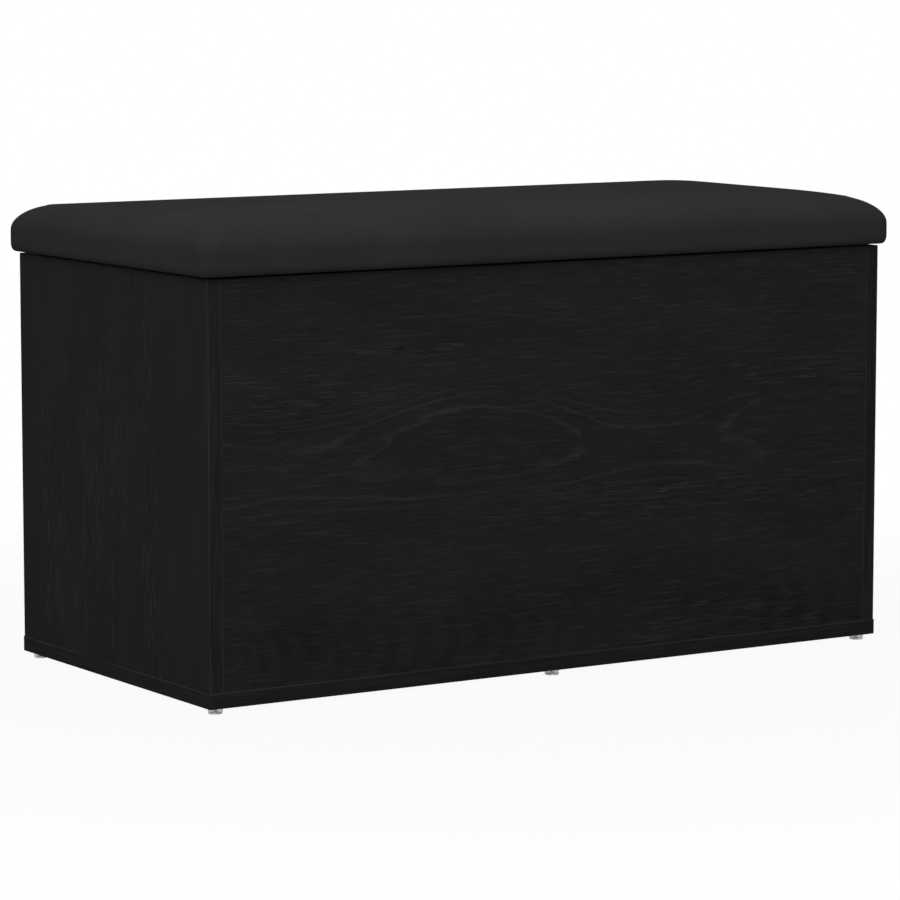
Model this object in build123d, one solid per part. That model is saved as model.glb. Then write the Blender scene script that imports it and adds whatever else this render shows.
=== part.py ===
from build123d import *
import math
import os

# Storage bench: a board chest on short glides under a padded lid that hinges open at the back.
# Millimetres. +X runs along the width, the front faces -Y, +Z is up and z = 0 is the floor.

# Chest boards
CHEST_WIDTH = 780.0
CHEST_DEPTH = 380.0
CHEST_HEIGHT = 400.0        # from the underside of the base to the top of the walls
WALL = 15.0                 # side, front and back panels
BASE = 15.0
BASE_LIP = 0.5              # how far the base stands proud of the walls
EDGE_BAND = 0.8             # glued strip on each bare board edge
EDGE_BREAK = 0.4            # small chamfer on the outer edges
WALL_SKIN = 3.0             # wood left under a blind hole in a wall
FIT = 0.05                  # clearance round a pin, dowel or screw in its hole

# Glides under the base
FOOT_HEIGHT = 6.0
FOOT_RADIUS = 7.1
FOOT_TAPER = 0.2            # how much narrower the glide is at the floor
FOOT_ROUNDING = 0.5
FOOT_INSET = 12.3           # centre of a glide from the outer face of the walls
NAIL_RADIUS = 1.0
NAIL_HEAD_RADIUS = 2.6
NAIL_HEAD = 1.0
NAIL_RECESS = 2.0           # depth of the nail head's pocket under the glide
NAIL_BITE = 10.0            # nail length inside the base

# Corner joints between the walls
CAM_RADIUS = 7.5
CAM_SETBACK = 34.0          # centre of a cam from the end of its panel
CAM_FROM_EDGE = 60.0        # cam height from the top and bottom of the wall
BOLT_RADIUS = 3.0
BOLT_THREAD_RADIUS = 2.5
DOWEL_RADIUS = 4.0
DOWEL_LENGTH = 30.0
DOWEL_OFFSET = 32.0         # dowel from its cam, towards the middle of the wall
SLOT_DEPTH = 1.2            # drive slots in cams and screw heads
SLOT_SPAN = 1.35            # slot length over the radius of its head
SLOT_BREADTH = 0.35         # slot width over the radius of its head

# Screws up through the base
BASE_SCREW_RADIUS = 2.5
BASE_SCREW_HEAD_RADIUS = 5.0
BASE_SCREW_LENGTH = 50.0
BASE_SCREWS_LONG = 4        # along the front and the back
BASE_SCREWS_SHORT = 3       # along each side
BASE_SCREW_END = 80.0       # last screw of a row from the end of its wall

# Padded lid
LID_GAP = 1.8               # open gap between the walls and the lid
LID_OVERHANG = 10.0
LID_CORNER = 14.8           # corner radius seen from above
LID_UNDERCUT = 5.2          # the cover's curl under the bottom edge
LID_SIDE = 22.0             # height of the upright side
SHOULDER_RISE = 20.9
SHOULDER_REACH = 12.5
SHOULDER_POWER = 1.46       # 2 is an ellipse, less is a flatter slope
CROWN_RISE = 7.6
CROWN_RUN = 28.0            # run over which the crown rises from the two ends
CROWN_FLAT = 116.0          # depth of the level strip along the top
SHOULDER_STEPS = 6
CROWN_STEPS = 5
COVER = 1.0
COVER_FIT = 0.2             # air between the cover and what it wraps
LID_BOARD = 15.0
HEM = 40.0                  # width of the cover turned under the board
LINING_MARGIN = 0.5
STAPLE_CROWN = 10.0
STAPLE_LEG = 7.0
STAPLE_WIRE = 0.7
STAPLE_FROM_HEM = 6.0
STAPLES_LONG = 9
STAPLES_SHORT = 4
BUMPER_RADIUS = 4.0
BUMPER_CLEARANCE = 0.1
BUMPER_FROM_CORNER = 90.0

# Hinges
HINGE_FROM_END = 130.0      # middle of a hinge from the end of the chest
HINGE_LENGTH = 60.0
KNUCKLES = 5
KNUCKLE_RADIUS = 3.0
KNUCKLE_CLEARANCE = 0.3
PIN_RADIUS = 1.5
PIN_HEAD_RADIUS = 2.3
PIN_HEAD = 0.8
LEAF = 1.4
CHEST_LEAF_DROP = 24.0      # leaf edge below the hinge axis
LID_LEAF_REACH = 20.0       # leaf edge in front of the hinge axis
HINGE_SCREW_SPACING = 22.0
HINGE_SCREWS = 3

# Small countersunk screws of the hinges and stay brackets
SCREW_RADIUS = 1.6
SCREW_HEAD_RADIUS = 2.9
SCREW_HEAD = 1.3

# Gas stays: both pivots lie at the same distance from the hinge axis
OPEN_ANGLE = 80.0
STAY_REACH = 200.0          # hinge axis to either pivot
STAY_INSET = 16.0           # stay axis from the inner face of the side panel
CHEST_PIVOT_SETBACK = 14.0  # lower pivot from the inner face of the back panel
LID_PIVOT_DROP = 18.0       # upper pivot below the lid
STUD_RADIUS = 3.0
STUD_TAIL = 2.5             # stud beyond the eye
EYE_RADIUS = 6.5
EYE_SHOULDER = 1.5          # rim of the eye outside the stud's collar and clip
EYE_THICKNESS = 6.0
EYE_REACH = 12.0            # pivot to the end of the eye's neck
EYE_NECK_RADIUS = 4.0
EYE_CLEARANCE = 0.3         # side play between the eye, the collar and the clip
CLIP = 1.0
CLIP_GROOVE = 0.5
TUBE_RADIUS = 7.5
TUBE_WALL = 1.2
TUBE_END = 3.0
GLAND_LENGTH = 10.0
GLAND_CLEARANCE = 0.1
ROD_RADIUS = 3.0
ROD_SHOWING = 18.0          # bare rod when the lid is shut
PISTON_LENGTH = 8.0
PISTON_CLEARANCE = 0.3
PISTON_RESERVE = 2.0        # between the piston and the gland when the lid is open
PLATE = 2.0
PLATE_WIDTH = 24.0
PLATE_LENGTH = 46.0
PLATE_CORNER = 4.0
PLATE_SCREW_SPACING = 32.0
BRACKET_WALL_GAP = 3.0      # lid bracket from the side panel

# Levels and faces worked out from the sizes above
base_bottom = FOOT_HEIGHT
wall_bottom = base_bottom + BASE
wall_top = base_bottom + CHEST_HEIGHT
lid_bottom = wall_top + LID_GAP
board_bottom = lid_bottom + COVER + COVER_FIT
board_top = board_bottom + LID_BOARD
half_width = CHEST_WIDTH / 2
half_depth = CHEST_DEPTH / 2
inner_x = half_width - WALL
inner_y = half_depth - WALL
lid_half_width = half_width + LID_OVERHANG
lid_half_depth = half_depth + LID_OVERHANG
hinge_x = half_width - HINGE_FROM_END
hinge_y = half_depth + KNUCKLE_RADIUS + KNUCKLE_CLEARANCE
hinge_z = lid_bottom - KNUCKLE_RADIUS - KNUCKLE_CLEARANCE
wall_screw = WALL - WALL_SKIN
board_screw = COVER + COVER_FIT + LID_BOARD - WALL_SKIN

# Stay geometry in the side view, as angles below the horizontal at the hinge axis
chest_pivot_angle = math.acos((hinge_y - (inner_y - CHEST_PIVOT_SETBACK)) / STAY_REACH)
lid_pivot_angle = math.asin((hinge_z - (lid_bottom - LID_PIVOT_DROP)) / STAY_REACH)
stay_angle = chest_pivot_angle - lid_pivot_angle
stay_shut = 2 * STAY_REACH * math.sin(stay_angle / 2)
stay_open = 2 * STAY_REACH * math.sin((stay_angle + math.radians(OPEN_ANGLE)) / 2)
tube_length = stay_shut - 2 * EYE_REACH - ROD_SHOWING
gland_mouth_open = stay_open - EYE_REACH - tube_length
rod_tip = gland_mouth_open + GLAND_LENGTH + PISTON_RESERVE + PISTON_LENGTH
stay_x = inner_x - STAY_INSET
collar_radius = EYE_RADIUS - EYE_SHOULDER

CORNER_LIMIT = 0.9          # largest corner radius over the half depth of its outline
ON_END = (Align.CENTER, Align.CENTER, Align.MIN)
UP = Vector(0, 0, 1)
FORWARD = Vector(0, -1, 0)
SIDES = {"left": -1, "right": 1}
ENDS = {"front": -1, "back": 1}

nodes = {}
holes = {}


def add(name, *solids):
    """Keep one solid, or a group of separate ones, as a named piece."""
    nodes[name] = list(solids)


def drill(cutter, *names):
    """Remember a hole that goes into the named pieces."""
    for name in names:
        holes.setdefault(name, []).append(cutter)


def block(low, high):
    """A box between two opposite corners."""
    size = [b - a for a, b in zip(low, high)]
    middle = [(a + b) / 2 for a, b in zip(low, high)]
    return Pos(*middle) * Box(*size)


def bar(start, along, radius, length):
    """A round bar from a point along a direction."""
    return Plane(start, z_dir=along) * Cylinder(radius, length, align=ON_END)


def break_edges(board, outward, along):
    """Chamfer the edges of a board's outer face that run along an axis."""
    face = max(board.faces(), key=lambda f: f.center().dot(outward))
    return chamfer(face.edges().filter_by(along), EDGE_BREAK)


def evenly(count, first, last):
    """Equally spaced places between two ends."""
    step = (last - first) / max(count - 1, 1)
    return [first + step * i for i in range(count)]


def drive_slot(head_radius):
    """The slot that a screwdriver turns."""
    return Box(head_radius * SLOT_SPAN, head_radius * SLOT_BREADTH, SLOT_DEPTH, align=ON_END)


def countersunk(start, along, radius, head_radius, head, length):
    """The plain body of a countersunk screw, its head flush at the starting point."""
    cone = Plane(start, z_dir=along) * Cone(head_radius, radius, head, align=ON_END)
    return bar(start, along, radius, length) + cone


def screw(start, along, radius, head_radius, head, length, *into):
    """A countersunk screw with a cross slot, and its hole in the pieces it goes through."""
    spare = (radius + FIT, head_radius + FIT, head + FIT, length + FIT)
    drill(countersunk(start, along, *spare), *into)
    body = countersunk(start, along, radius, head_radius, head, length)
    for turn in (0, 90):
        body -= Plane(start, z_dir=along) * Rot(0, 0, turn) * drive_slot(head_radius)
    return body


def small_screw(start, along, length, *into):
    """A screw of the size used on hinges and stay brackets."""
    return screw(start, along, SCREW_RADIUS, SCREW_HEAD_RADIUS, SCREW_HEAD, length, *into)


def make_walls():
    """The four walls with their edge bands."""
    for side, sign in SIDES.items():
        outer, inner = sign * half_width, sign * inner_x
        low_x, high_x = min(outer, inner), max(outer, inner)
        outward = Vector(sign, 0, 0)
        core_y = half_depth - EDGE_BAND
        panel = block((low_x, -core_y, wall_bottom), (high_x, core_y, wall_top - EDGE_BAND))
        add(f"{side}_side_panel", break_edges(panel, outward, Axis.Y))
        front = block((low_x, -half_depth, wall_bottom), (high_x, -core_y, wall_top))
        back = block((low_x, core_y, wall_bottom), (high_x, half_depth, wall_top))
        top = block((low_x, -core_y, wall_top - EDGE_BAND), (high_x, core_y, wall_top))
        add(f"{side}_side_edge_bands", break_edges(front, FORWARD, Axis.Z),
            break_edges(back, -FORWARD, Axis.Z), break_edges(top, UP, Axis.Y))
    for end, sign in ENDS.items():
        outer, inner = sign * half_depth, sign * inner_y
        low_y, high_y = min(outer, inner), max(outer, inner)
        panel = block((-inner_x, low_y, wall_bottom), (inner_x, high_y, wall_top - EDGE_BAND))
        panel = break_edges(panel, Vector(0, sign, 0), Axis.Z)
        add(f"{end}_panel", panel)
        top = block((-inner_x, low_y, wall_top - EDGE_BAND), (inner_x, high_y, wall_top))
        add(f"{end}_edge_band", break_edges(top, UP, Axis.X))


def make_base():
    """The base board, banded on its four edges, and the screws that hold the walls to it."""
    edge_x, edge_y = half_width + BASE_LIP, half_depth + BASE_LIP
    core_x, core_y = edge_x - EDGE_BAND, edge_y - EDGE_BAND
    add("base_panel", block((-core_x, -core_y, base_bottom), (core_x, core_y, wall_bottom)))
    bands = []
    for sign in (-1, 1):
        low, high = sorted((sign * core_y, sign * edge_y))
        long_band = block((-edge_x, low, base_bottom), (edge_x, high, wall_bottom))
        bands.append(break_edges(long_band, Vector(0, sign, 0), Axis.X))
        low, high = sorted((sign * core_x, sign * edge_x))
        end_band = block((low, -core_y, base_bottom), (high, core_y, wall_bottom))
        bands.append(break_edges(end_band, Vector(sign, 0, 0), Axis.Y))
    add("base_edge_bands", *bands)
    places = []
    for end, sign in ENDS.items():
        for x in evenly(BASE_SCREWS_LONG, BASE_SCREW_END - inner_x, inner_x - BASE_SCREW_END):
            places.append((x, sign * (half_depth - WALL / 2), f"{end}_panel"))
    for side, sign in SIDES.items():
        for y in evenly(BASE_SCREWS_SHORT, BASE_SCREW_END - half_depth, half_depth - BASE_SCREW_END):
            places.append((sign * (half_width - WALL / 2), y, f"{side}_side_panel"))
    head = BASE_SCREW_HEAD_RADIUS - BASE_SCREW_RADIUS
    sizes = (BASE_SCREW_RADIUS, BASE_SCREW_HEAD_RADIUS, head, BASE_SCREW_LENGTH)
    add("base_screws", *[screw((x, y, base_bottom), UP, *sizes, "base_panel", wall)
                         for x, y, wall in places])


def make_feet():
    """Six nailed glides under the base."""
    nails = []
    columns = {"left": FOOT_INSET - half_width, "middle": 0.0, "right": half_width - FOOT_INSET}
    for end, sign in ENDS.items():
        for column, x in columns.items():
            y = sign * (half_depth - FOOT_INSET)
            foot = Pos(x, y, 0) * Cone(FOOT_RADIUS - FOOT_TAPER, FOOT_RADIUS, FOOT_HEIGHT, align=ON_END)
            foot = fillet(foot.edges().sort_by(Axis.Z)[0], FOOT_ROUNDING)
            foot -= bar((x, y, 0), UP, NAIL_HEAD_RADIUS + FIT, NAIL_RECESS)
            foot -= bar((x, y, 0), UP, NAIL_RADIUS + FIT, FOOT_HEIGHT)
            add(f"{end}_{column}_foot", foot)
            nail_length = FOOT_HEIGHT - NAIL_RECESS + NAIL_BITE
            nail = bar((x, y, NAIL_RECESS), UP, NAIL_RADIUS, nail_length)
            nail += bar((x, y, NAIL_RECESS - NAIL_HEAD), UP, NAIL_HEAD_RADIUS, NAIL_HEAD)
            nails.append(nail)
            drill(bar((x, y, base_bottom), UP, NAIL_RADIUS + FIT, NAIL_BITE + FIT), "base_panel")
    add("foot_nails", *nails)


def make_corner_joints():
    """Cams, bolts and dowels that hold the front and back panels between the sides."""
    cams, bolts, dowels = [], [], []
    heights = ((wall_bottom + CAM_FROM_EDGE, 1), (wall_top - CAM_FROM_EDGE, -1))
    cam_depth = WALL - WALL_SKIN
    for end, end_sign in ENDS.items():
        for side, side_sign in SIDES.items():
            into_panel = Vector(-side_sign, 0, 0)
            panel, wall = f"{end}_panel", f"{side}_side_panel"
            y = end_sign * (half_depth - WALL / 2)
            for z, inward in heights:
                joint = Vector(side_sign * inner_x, y, z)
                head = CAM_SETBACK + BOLT_RADIUS
                bolt = bar(joint, into_panel, BOLT_RADIUS, head)
                bolt += bar(joint, -into_panel, BOLT_THREAD_RADIUS, wall_screw)
                bolts.append(bolt)
                passage = bar(joint, into_panel, BOLT_RADIUS + FIT, head + FIT)
                drill(passage, panel)
                drill(bar(joint, -into_panel, BOLT_THREAD_RADIUS + FIT, wall_screw + FIT), wall)
                face = Vector(side_sign * (inner_x - CAM_SETBACK), end_sign * inner_y, z)
                into_face = Vector(0, end_sign, 0)
                cam = bar(face, into_face, CAM_RADIUS, cam_depth) - passage
                cams.append(cam - Plane(face, z_dir=into_face) * drive_slot(CAM_RADIUS))
                drill(bar(face, into_face, CAM_RADIUS + FIT, cam_depth + FIT), panel)
                tip = joint + Vector(0, 0, inward * DOWEL_OFFSET) - into_panel * wall_screw
                dowels.append(bar(tip, into_panel, DOWEL_RADIUS, DOWEL_LENGTH))
                start = tip - into_panel * FIT
                drill(bar(start, into_panel, DOWEL_RADIUS + FIT, DOWEL_LENGTH + 2 * FIT), panel, wall)
    add("cam_housings", *cams)
    add("cam_bolts", *bolts)
    add("wood_dowels", *dowels)


def make_bumpers():
    """Soft dots on the top edges that the shut lid rests on."""
    front_y = WALL / 2 - half_depth
    side_x = half_width - WALL / 2
    places = []
    for sign in (-1, 1):
        places.append((sign * (half_width - BUMPER_FROM_CORNER), front_y))
        places.append((sign * side_x, BUMPER_FROM_CORNER - half_depth))
    height = LID_GAP - BUMPER_CLEARANCE
    add("lid_bumpers", *[bar((x, y, wall_top), UP, BUMPER_RADIUS, height) for x, y in places])


def lid_section(inset_x, inset_y, z, corner):
    """One level outline of the padded lid, its corners limited by its own depth."""
    half_x = lid_half_width - inset_x
    half_y = lid_half_depth - inset_y
    corner = min(corner, CORNER_LIMIT * min(half_x, half_y))
    return Pos(0, 0, z) * RectangleRounded(2 * half_x, 2 * half_y, corner)


def lid_form(shrink):
    """The lid's padded form: upright sides, a rolled shoulder and a crowned top, drawn in all over."""
    side_top = lid_bottom + LID_SIDE
    lower = extrude(lid_section(shrink, shrink, lid_bottom + shrink, LID_CORNER - shrink),
                    LID_SIDE - shrink)
    lower = fillet(lower.faces().sort_by(Axis.Z)[0].edges(), LID_UNDERCUT)
    levels = [lid_section(shrink, shrink, side_top, LID_CORNER - shrink)]
    for step in range(1, SHOULDER_STEPS + 1):
        turn = math.radians(90 * step / SHOULDER_STEPS)
        run = SHOULDER_REACH * (1 - max(math.cos(turn), 0) ** (2 / SHOULDER_POWER))
        rise = SHOULDER_RISE * math.sin(turn) ** (2 / SHOULDER_POWER)
        inset = run + shrink * math.cos(turn)
        z = side_top + rise - shrink * math.sin(turn)
        levels.append(lid_section(inset, inset, z, LID_CORNER + run - shrink * math.cos(turn)))
    crown_run_sides = lid_half_depth - SHOULDER_REACH - CROWN_FLAT / 2
    for step in range(1, CROWN_STEPS + 1):
        share = step / CROWN_STEPS
        ends = SHOULDER_REACH + CROWN_RUN * share
        sides = SHOULDER_REACH + crown_run_sides * share
        z = side_top + SHOULDER_RISE + CROWN_RISE * (1 - (1 - share) ** 2) - shrink
        levels.append(lid_section(ends, sides, z, LID_CORNER + SHOULDER_REACH))
    return lower + loft(levels, ruled=True)


def make_lid():
    """Board, foam pad, upholstery cover, lining and the staples along the hem."""
    outer = lid_form(0)
    pocket = lid_form(COVER)
    filling = lid_form(COVER + COVER_FIT)
    open_x, open_y = lid_half_width - HEM, lid_half_depth - HEM
    hem_opening = block((-open_x, -open_y, lid_bottom - COVER), (open_x, open_y, board_bottom))
    add("seat_cover", outer - pocket - hem_opening)
    reach = (lid_half_width, lid_half_depth)
    below = block((-reach[0], -reach[1], lid_bottom), (*reach, board_top))
    add("lid_board", filling & below)
    add("foam_pad", filling - below)
    lining_x, lining_y = open_x - LINING_MARGIN, open_y - LINING_MARGIN
    add("lid_lining", block((-lining_x, -lining_y, lid_bottom), (lining_x, lining_y, board_bottom)))
    make_staples(open_x + STAPLE_FROM_HEM, open_y + STAPLE_FROM_HEM)


def staple(x, y, turn, spare):
    """A staple driven up into the lid, its crown against the hem."""
    wire = STAPLE_WIRE + 2 * spare
    crown = Box(STAPLE_CROWN + 2 * spare, wire, wire, align=ON_END)
    body = Pos(0, 0, -STAPLE_WIRE - spare) * crown
    for sign in (-1, 1):
        leg = Box(wire, wire, STAPLE_LEG + STAPLE_WIRE + 2 * spare, align=ON_END)
        body += Pos(sign * (STAPLE_CROWN - STAPLE_WIRE) / 2, 0, -STAPLE_WIRE - spare) * leg
    return Pos(x, y, lid_bottom) * Rot(0, 0, turn) * body


def make_staples(row_x, row_y):
    """Staples along the four sides of the hem, clear of the hinges and the stay brackets."""
    places = []
    for sign in (-1, 1):
        for x in evenly(STAPLES_LONG, HEM - row_x, row_x - HEM):
            over_hinge = abs(abs(x) - hinge_x) < HINGE_LENGTH / 2 + STAPLE_CROWN
            if sign < 0 or not over_hinge:
                places.append((x, sign * row_y, 0))
        for y in evenly(STAPLES_SHORT, HEM - row_y, row_y - HEM):
            if abs(y - lid_pivot().Y) > (PLATE_LENGTH + STAPLE_CROWN) / 2 + STAPLE_WIRE:
                places.append((sign * row_x, y, 90))
    for place in places:
        drill(staple(*place, FIT), "seat_cover", "lid_board")
    add("cover_staples", *[staple(*place, 0) for place in places])


def hinge_leaf(x, plate, odd):
    """A leaf with its knuckles: the odd ones belong to the chest, the even ones to the lid."""
    pitch = (HINGE_LENGTH + KNUCKLE_CLEARANCE) / KNUCKLES
    start = Vector(x - HINGE_LENGTH / 2, hinge_y, hinge_z)
    east = Vector(1, 0, 0)
    leaf = plate
    room = KNUCKLE_RADIUS + KNUCKLE_CLEARANCE
    for i in range(KNUCKLES):
        corner = start + east * (i * pitch)
        if (i % 2 == 0) == odd:
            leaf += bar(corner, east, KNUCKLE_RADIUS, pitch - KNUCKLE_CLEARANCE)
        else:
            leaf -= bar(corner - east * KNUCKLE_CLEARANCE, east, room, pitch + KNUCKLE_CLEARANCE)
    return leaf - bar(start - east * PIN_HEAD, east, PIN_RADIUS + FIT, HINGE_LENGTH + 2 * PIN_HEAD)


def make_hinges():
    """Two butt hinges: one leaf on the back of the chest, one under the lid."""
    chest_screws, lid_screws = [], []
    for side, sign in SIDES.items():
        x = sign * hinge_x
        low_x, high_x = x - HINGE_LENGTH / 2, x + HINGE_LENGTH / 2
        chest_plate = block((low_x, half_depth, hinge_z - CHEST_LEAF_DROP),
                            (high_x, half_depth + LEAF, hinge_z))
        lid_plate = block((low_x, hinge_y - LID_LEAF_REACH, lid_bottom - LEAF),
                          (high_x, hinge_y, lid_bottom))
        chest_name, lid_name = f"{side}_hinge_chest_leaf", f"{side}_hinge_lid_leaf"
        add(chest_name, hinge_leaf(x, chest_plate, True))
        add(lid_name, hinge_leaf(x, lid_plate, False))
        east = Vector(1, 0, 0)
        pin_start = Vector(low_x, hinge_y, hinge_z)
        pin = bar(pin_start, east, PIN_RADIUS, HINGE_LENGTH)
        pin += bar(pin_start - east * PIN_HEAD, east, PIN_HEAD_RADIUS, PIN_HEAD)
        pin += bar(pin_start + east * HINGE_LENGTH, east, PIN_HEAD_RADIUS, PIN_HEAD)
        add(f"{side}_hinge_pin", pin)
        half_row = HINGE_SCREW_SPACING * (HINGE_SCREWS - 1) / 2
        chest_row = hinge_z - (KNUCKLE_RADIUS + CHEST_LEAF_DROP) / 2
        lid_row = hinge_y - (KNUCKLE_RADIUS + LID_LEAF_REACH) / 2
        for screw_x in evenly(HINGE_SCREWS, x - half_row, x + half_row):
            start = (screw_x, half_depth + LEAF, chest_row)
            chest_screws.append(small_screw(start, FORWARD, LEAF + wall_screw, chest_name, "back_panel"))
            start = (screw_x, lid_row, lid_bottom - LEAF)
            lid_screws.append(small_screw(start, UP, LEAF + board_screw, lid_name, "seat_cover", "lid_board"))
    add("chest_hinge_screws", *chest_screws)
    add("lid_hinge_screws", *lid_screws)


def pivot(angle):
    """A point at the stays' reach from the hinge axis, at an angle below the horizontal."""
    return Vector(0, hinge_y - STAY_REACH * math.cos(angle), hinge_z - STAY_REACH * math.sin(angle))


def lid_pivot():
    """The upper pivot, in the shut position."""
    return pivot(lid_pivot_angle)


def chest_pivot():
    """The lower pivot."""
    return pivot(chest_pivot_angle)


def stud(root, inward, eye_face):
    """A shouldered stud with a clip groove, from its plate to beyond the eye it carries."""
    length = eye_face + EYE_THICKNESS + EYE_CLEARANCE + CLIP + STUD_TAIL
    body = bar(root, inward, STUD_RADIUS, length)
    body += bar(root, inward, collar_radius, eye_face - EYE_CLEARANCE)
    groove_start = root + inward * (eye_face + EYE_THICKNESS + EYE_CLEARANCE)
    groove = bar(groove_start, inward, STUD_RADIUS + FIT, CLIP + FIT)
    groove -= bar(groove_start, inward, STUD_RADIUS - CLIP_GROOVE, CLIP + FIT)
    clip = bar(groove_start, inward, collar_radius, CLIP)
    clip -= bar(groove_start, inward, STUD_RADIUS - CLIP_GROOVE + FIT, CLIP)
    return body - groove, clip


def make_brackets():
    """The plates and studs that carry the stays on the side panels and under the lid."""
    chest_clips, lid_clips, chest_screws, lid_screws = [], [], [], []
    flat_plate = RectangleRounded(PLATE_WIDTH, PLATE_LENGTH, PLATE_CORNER)
    for side, sign in SIDES.items():
        inward = Vector(-sign, 0, 0)
        low = chest_pivot() + Vector(sign * inner_x, 0, 0)
        seat = Plane(low, x_dir=(0, 1, 0), z_dir=inward)
        plate = extrude(seat * flat_plate, PLATE)
        body, clip = stud(low, inward, STAY_INSET - EYE_THICKNESS / 2)
        name = f"{side}_stay_chest_bracket"
        add(name, plate + body)
        chest_clips.append(clip)
        for shift in evenly(2, -PLATE_SCREW_SPACING / 2, PLATE_SCREW_SPACING / 2):
            start = low + inward * PLATE + Vector(0, 0, shift)
            chest_screws.append(small_screw(start, -inward, PLATE + wall_screw, name, f"{side}_side_panel"))

        web_face = inner_x - BRACKET_WALL_GAP
        high = lid_pivot() + Vector(sign * web_face, 0, 0)
        name = f"{side}_stay_lid_bracket"
        flange_middle = Vector(sign * (web_face - PLATE_WIDTH / 2), high.Y, lid_bottom - PLATE)
        flange = extrude(Pos(*flange_middle) * flat_plate, PLATE)
        web_drop = LID_PIVOT_DROP + EYE_RADIUS
        low_x, high_x = sorted((sign * web_face, sign * (web_face - PLATE)))
        web = block((low_x, high.Y - PLATE_WIDTH / 2, lid_bottom - web_drop),
                    (high_x, high.Y + PLATE_WIDTH / 2, lid_bottom))
        lower_corners = web.edges().filter_by(Axis.X).sort_by(Axis.Z)[:2]
        web = fillet(lower_corners, PLATE_CORNER)
        body, clip = stud(high, inward, STAY_INSET - BRACKET_WALL_GAP - EYE_THICKNESS / 2)
        add(name, flange + web + body)
        lid_clips.append(clip)
        into = (name, "seat_cover", "lid_lining", "lid_board")
        for shift in evenly(2, -PLATE_SCREW_SPACING / 2, PLATE_SCREW_SPACING / 2):
            start = flange_middle + Vector(0, shift, 0)
            lid_screws.append(small_screw(start, UP, PLATE + board_screw, *into))
    add("chest_stay_clips", *chest_clips)
    add("lid_stay_clips", *lid_clips)
    add("chest_bracket_screws", *chest_screws)
    add("lid_bracket_screws", *lid_screws)


def stay_eye(centre, along):
    """An end eye: a flat ring on the stud with a round neck towards the stay."""
    east = Vector(1, 0, 0)
    start = centre - east * (EYE_THICKNESS / 2)
    neck_start = collar_radius + EYE_CLEARANCE
    neck = bar(centre + along * neck_start, along, EYE_NECK_RADIUS, EYE_REACH - neck_start)
    eye = bar(start, east, EYE_RADIUS, EYE_THICKNESS) + neck
    return eye - bar(start, east, STUD_RADIUS + FIT, EYE_THICKNESS)


def make_stays():
    """Two gas stays: the tube hangs from the lid, the rod stands on the side panel."""
    for side, sign in SIDES.items():
        top = lid_pivot() + Vector(sign * stay_x, 0, 0)
        foot = chest_pivot() + Vector(sign * stay_x, 0, 0)
        down = (foot - top).normalized()
        tube_top = top + down * EYE_REACH
        bore = TUBE_RADIUS - TUBE_WALL
        tube = bar(tube_top, down, TUBE_RADIUS, tube_length)
        tube -= bar(tube_top + down * TUBE_END, down, bore, tube_length)
        add(f"{side}_stay_tube", tube)
        add(f"{side}_stay_tube_eye", stay_eye(top, down))
        mouth = tube_top + down * (tube_length - GLAND_LENGTH)
        gland = bar(mouth, down, bore - FIT, GLAND_LENGTH)
        add(f"{side}_stay_gland", gland - bar(mouth, down, ROD_RADIUS + GLAND_CLEARANCE, GLAND_LENGTH))
        add(f"{side}_stay_rod_eye", stay_eye(foot, -down))
        rod_end = rod_tip - PISTON_LENGTH
        add(f"{side}_stay_rod", bar(foot - down * EYE_REACH, -down, ROD_RADIUS, rod_end - EYE_REACH))
        piston = bar(foot - down * rod_end, -down, bore - PISTON_CLEARANCE, PISTON_LENGTH)
        add(f"{side}_stay_piston", piston)


def main():
    """Build every piece, cut its holes and write one file for each."""
    make_walls()
    make_base()
    make_feet()
    make_corner_joints()
    make_bumpers()
    make_lid()
    make_hinges()
    make_brackets()
    make_stays()
    os.makedirs("parts", exist_ok=True)
    for name, solids in nodes.items():
        if name in holes:
            solids = [solid - holes[name] for solid in solids]
        bodies = [body for solid in solids for body in solid.solids()]
        piece = bodies[0] if len(bodies) == 1 else Compound(children=bodies)
        export_step(piece, f"parts/{name}.step")
    for title, point in (("lid pivot", lid_pivot()), ("chest pivot", chest_pivot())):
        print(title, "y", round(point.Y, 6), "z", round(point.Z, 6))
    print("hinge axis y", round(hinge_y, 6), "z", round(hinge_z, 6))
    print("stay shut", round(stay_shut, 3), "open", round(stay_open, 3))


main()
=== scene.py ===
"""Looks of the storage bench: black oak boards, a padded lid and the hardware that carries it.

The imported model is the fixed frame. The seat pad with its tucked corners and the lining are made
here as cloth. Every other piece keeps its own shape and is given its finish.
"""

import logging
import math
from dataclasses import asdict, dataclass, field
from enum import Enum

import bmesh
import bpy
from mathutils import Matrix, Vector


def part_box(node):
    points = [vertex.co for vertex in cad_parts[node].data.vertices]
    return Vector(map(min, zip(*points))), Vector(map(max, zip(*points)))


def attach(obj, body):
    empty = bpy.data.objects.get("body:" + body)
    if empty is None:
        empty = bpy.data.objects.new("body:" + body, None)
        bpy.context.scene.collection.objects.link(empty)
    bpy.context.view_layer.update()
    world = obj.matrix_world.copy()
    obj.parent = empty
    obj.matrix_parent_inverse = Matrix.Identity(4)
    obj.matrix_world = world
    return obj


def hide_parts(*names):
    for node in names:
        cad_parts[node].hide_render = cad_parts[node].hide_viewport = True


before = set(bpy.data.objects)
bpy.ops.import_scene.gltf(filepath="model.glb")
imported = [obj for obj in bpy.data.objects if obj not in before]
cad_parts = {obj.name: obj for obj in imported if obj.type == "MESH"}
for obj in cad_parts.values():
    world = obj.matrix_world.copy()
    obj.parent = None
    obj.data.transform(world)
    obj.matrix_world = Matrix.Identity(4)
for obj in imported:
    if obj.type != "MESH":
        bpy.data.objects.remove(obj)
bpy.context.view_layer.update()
LOG = logging.getLogger("storage_bench")

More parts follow.
